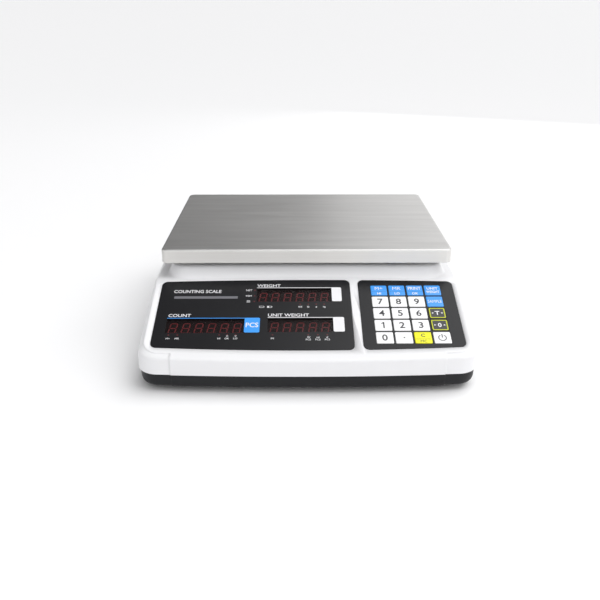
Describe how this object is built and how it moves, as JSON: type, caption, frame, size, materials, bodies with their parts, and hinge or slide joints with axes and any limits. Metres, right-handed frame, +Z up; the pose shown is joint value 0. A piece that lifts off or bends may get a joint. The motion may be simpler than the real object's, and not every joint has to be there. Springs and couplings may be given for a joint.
{
  "type": "counting scale",
  "caption": "Bench counting scale: white cover on a black base, brushed steel platter on a load cell, sloping console with LED windows and a numeric keypad, levelling feet.",
  "frame": {"origin": "centre of the footprint, on the surface that the feet stand on", "axes": "+X to the user's right, +Y away from the user, +Z up"},
  "size_m": [0.33, 0.35, 0.108],
  "materials": {
    "cover_plastic": "white ABS, fine satin texture",
    "base_plastic": "black ABS, fine satin texture",
    "panel_film": "near-black printed polyester film, satin",
    "red_filter": "dark red transparent acrylic",
    "led_module": "dark potted seven-segment module",
    "key_white": "printed satin key",
    "key_blue": "printed satin key",
    "key_yellow": "printed satin key",
    "key_black": "printed satin key",
    "stainless_steel": "long brush lines from left to right",
    "cast_alloy": "sand-blasted die casting",
    "cell_alloy": "milled, clear anodised",
    "zinc_plated_steel": "zinc plated",
    "rubber": "moulded, matte",
    "foot_plastic": "moulded nylon",
    "jack_plastic": "moulded nylon",
    "circuit_board": "green solder mask",
    "battery_case": "moulded ABS",
    "level_vial": "clear vial with yellow-green fluid"
  },
  "bodies": {
    "housing": {"lower_housing": "base_plastic", "upper_housing": "cover_plastic", "battery": "battery_case", "base_plate": "zinc_plated_steel", "load_cell": "cell_alloy", "bubble_level": "level_vial", "main_board": "circuit_board", "serial_port": "zinc_plated_steel", "dc_jack": "jack_plastic", "display_overlay": "panel_film", "keypad_overlay": "panel_film", "display_filter": "red_filter", "keypad_board": "circuit_board", "display_board": "circuit_board", "display_weight": "led_module", "display_unit_weight": "led_module", "display_count": "led_module", "cell_bolt_base_1": "zinc_plated_steel", "cell_bolt_base_2": "zinc_plated_steel", "housing_screw_1": "zinc_plated_steel", "housing_screw_2": "zinc_plated_steel", "housing_screw_3": "zinc_plated_steel", "housing_screw_4": "zinc_plated_steel"},
    "key_0_body": {"key_0": "key_white"},
    "key_decimal_body": {"key_decimal": "key_white"},
    "key_clear_body": {"key_clear": "key_yellow"},
    "key_power_body": {"key_power": "key_white"},
    "key_1_body": {"key_1": "key_white"},
    "key_2_body": {"key_2": "key_white"},
    "key_3_body": {"key_3": "key_white"},
    "key_zero_body": {"key_zero": "key_black"},
    "key_4_body": {"key_4": "key_white"},
    "key_5_body": {"key_5": "key_white"},
    "key_6_body": {"key_6": "key_white"},
    "key_tare_body": {"key_tare": "key_black"},
    "key_7_body": {"key_7": "key_white"},
    "key_8_body": {"key_8": "key_white"},
    "key_9_body": {"key_9": "key_white"},
    "key_sample_body": {"key_sample": "key_blue"},
    "key_memory_add_body": {"key_memory_add": "key_blue"},
    "key_memory_recall_body": {"key_memory_recall": "key_blue"},
    "key_print_body": {"key_print": "key_blue"},
    "key_unit_weight_body": {"key_unit_weight": "key_blue"},
    "weigh_deck": {"pan_support": "cast_alloy", "cell_bolt_top_1": "zinc_plated_steel", "cell_bolt_top_2": "zinc_plated_steel", "pan_cushion_1": "rubber", "pan_cushion_2": "rubber", "pan_cushion_3": "rubber", "pan_cushion_4": "rubber"},
    "platter": {"platter": "stainless_steel"},
    "foot_front_left_sole": {"foot_sole_front_left": "rubber"},
    "foot_front_left_screw": {"foot_screw_front_left": "foot_plastic"},
    "foot_front_right_sole": {"foot_sole_front_right": "rubber"},
    "foot_front_right_screw": {"foot_screw_front_right": "foot_plastic"},
    "foot_rear_left_sole": {"foot_sole_rear_left": "rubber"},
    "foot_rear_left_screw": {"foot_screw_rear_left": "foot_plastic"},
    "foot_rear_right_sole": {"foot_sole_rear_right": "rubber"},
    "foot_rear_right_screw": {"foot_screw_rear_right": "foot_plastic"},
    "battery_door": {"battery_door": "base_plastic"}
  },
  "joints": [
    {"name": "key_0_press", "type": "slide", "parent": "housing", "child": "key_0_body", "axis": [0, 0.3304, -0.9439], "range_m": [0, 0.0005], "stiffness_N_per_m": 2500},
    {"name": "key_decimal_press", "type": "slide", "parent": "housing", "child": "key_decimal_body", "axis": [0, 0.3304, -0.9439], "range_m": [0, 0.0005], "stiffness_N_per_m": 2500},
    {"name": "key_clear_press", "type": "slide", "parent": "housing", "child": "key_clear_body", "axis": [0, 0.3304, -0.9439], "range_m": [0, 0.0005], "stiffness_N_per_m": 2500},
    {"name": "key_power_press", "type": "slide", "parent": "housing", "child": "key_power_body", "axis": [0, 0.3304, -0.9439], "range_m": [0, 0.0005], "stiffness_N_per_m": 2500},
    {"name": "key_1_press", "type": "slide", "parent": "housing", "child": "key_1_body", "axis": [0, 0.3304, -0.9439], "range_m": [0, 0.0005], "stiffness_N_per_m": 2500},
    {"name": "key_2_press", "type": "slide", "parent": "housing", "child": "key_2_body", "axis": [0, 0.3304, -0.9439], "range_m": [0, 0.0005], "stiffness_N_per_m": 2500},
    {"name": "key_3_press", "type": "slide", "parent": "housing", "child": "key_3_body", "axis": [0, 0.3304, -0.9439], "range_m": [0, 0.0005], "stiffness_N_per_m": 2500},
    {"name": "key_zero_press", "type": "slide", "parent": "housing", "child": "key_zero_body", "axis": [0, 0.3304, -0.9439], "range_m": [0, 0.0005], "stiffness_N_per_m": 2500},
    {"name": "key_4_press", "type": "slide", "parent": "housing", "child": "key_4_body", "axis": [0, 0.3304, -0.9439], "range_m": [0, 0.0005], "stiffness_N_per_m": 2500},
    {"name": "key_5_press", "type": "slide", "parent": "housing", "child": "key_5_body", "axis": [0, 0.3304, -0.9439], "range_m": [0, 0.0005], "stiffness_N_per_m": 2500},
    {"name": "key_6_press", "type": "slide", "parent": "housing", "child": "key_6_body", "axis": [0, 0.3304, -0.9439], "range_m": [0, 0.0005], "stiffness_N_per_m": 2500},
    {"name": "key_tare_press", "type": "slide", "parent": "housing", "child": "key_tare_body", "axis": [0, 0.3304, -0.9439], "range_m": [0, 0.0005], "stiffness_N_per_m": 2500},
    {"name": "key_7_press", "type": "slide", "parent": "housing", "child": "key_7_body", "axis": [0, 0.3304, -0.9439], "range_m": [0, 0.0005], "stiffness_N_per_m": 2500},
    {"name": "key_8_press", "type": "slide", "parent": "housing", "child": "key_8_body", "axis": [0, 0.3304, -0.9439], "range_m": [0, 0.0005], "stiffness_N_per_m": 2500},
    {"name": "key_9_press", "type": "slide", "parent": "housing", "child": "key_9_body", "axis": [0, 0.3304, -0.9439], "range_m": [0, 0.0005], "stiffness_N_per_m": 2500},
    {"name": "key_sample_press", "type": "slide", "parent": "housing", "child": "key_sample_body", "axis": [0, 0.3304, -0.9439], "range_m": [0, 0.0005], "stiffness_N_per_m": 2500},
    {"name": "key_memory_add_press", "type": "slide", "parent": "housing", "child": "key_memory_add_body", "axis": [0, 0.3304, -0.9439], "range_m": [0, 0.0005], "stiffness_N_per_m": 2500},
    {"name": "key_memory_recall_press", "type": "slide", "parent": "housing", "child": "key_memory_recall_body", "axis": [0, 0.3304, -0.9439], "range_m": [0, 0.0005], "stiffness_N_per_m": 2500},
    {"name": "key_print_press", "type": "slide", "parent": "housing", "child": "key_print_body", "axis": [0, 0.3304, -0.9439], "range_m": [0, 0.0005], "stiffness_N_per_m": 2500},
    {"name": "key_unit_weight_press", "type": "slide", "parent": "housing", "child": "key_unit_weight_body", "axis": [0, 0.3304, -0.9439], "range_m": [0, 0.0005], "stiffness_N_per_m": 2500},
    {"name": "load_cell_bend", "type": "slide", "parent": "housing", "child": "weigh_deck", "axis": [0, 0, -1], "range_m": [0, 0.00025], "stiffness_N_per_m": 120000, "deforming": ["load_cell"]},
    {"name": "platter_lift", "type": "slide", "parent": "weigh_deck", "child": "platter", "axis": [0, 0, 1], "range_m": [0, 0.05]},
    {"name": "foot_front_left_travel", "type": "slide", "parent": "housing", "child": "foot_front_left_sole", "axis": [0, 0, -1], "range_m": [0, 0.0061]},
    {"name": "foot_front_left_turn", "type": "hinge", "parent": "foot_front_left_sole", "child": "foot_front_left_screw", "pos_m": [-0.132, -0.135, 0.01], "axis": [0, 0, -1], "range_deg": [0, 1440]},
    {"name": "foot_front_right_travel", "type": "slide", "parent": "housing", "child": "foot_front_right_sole", "axis": [0, 0, -1], "range_m": [0, 0.0061]},
    {"name": "foot_front_right_turn", "type": "hinge", "parent": "foot_front_right_sole", "child": "foot_front_right_screw", "pos_m": [0.132, -0.135, 0.01], "axis": [0, 0, -1], "range_deg": [0, 1440]},
    {"name": "foot_rear_left_travel", "type": "slide", "parent": "housing", "child": "foot_rear_left_sole", "axis": [0, 0, -1], "range_m": [0, 0.0061]},
    {"name": "foot_rear_left_turn", "type": "hinge", "parent": "foot_rear_left_sole", "child": "foot_rear_left_screw", "pos_m": [-0.132, 0.14, 0.01], "axis": [0, 0, -1], "range_deg": [0, 1440]},
    {"name": "foot_rear_right_travel", "type": "slide", "parent": "housing", "child": "foot_rear_right_sole", "axis": [0, 0, -1], "range_m": [0, 0.0061]},
    {"name": "foot_rear_right_turn", "type": "hinge", "parent": "foot_rear_right_sole", "child": "foot_rear_right_screw", "pos_m": [0.132, 0.14, 0.01], "axis": [0, 0, -1], "range_deg": [0, 1440]},
    {"name": "battery_door_hinge", "type": "hinge", "parent": "housing", "child": "battery_door", "pos_m": [-0.08, 0.0455, 0.006], "axis": [0, -1, 0], "range_deg": [0, 100]}
  ],
  "couplings": [
    {"joint": "foot_front_left_travel", "follows": "foot_front_left_turn", "m_per_rad": 0.00023873},
    {"joint": "foot_front_right_travel", "follows": "foot_front_right_turn", "m_per_rad": 0.00023873},
    {"joint": "foot_rear_left_travel", "follows": "foot_rear_left_turn", "m_per_rad": 0.00023873},
    {"joint": "foot_rear_right_travel", "follows": "foot_rear_right_turn", "m_per_rad": 0.00023873}
  ]
}
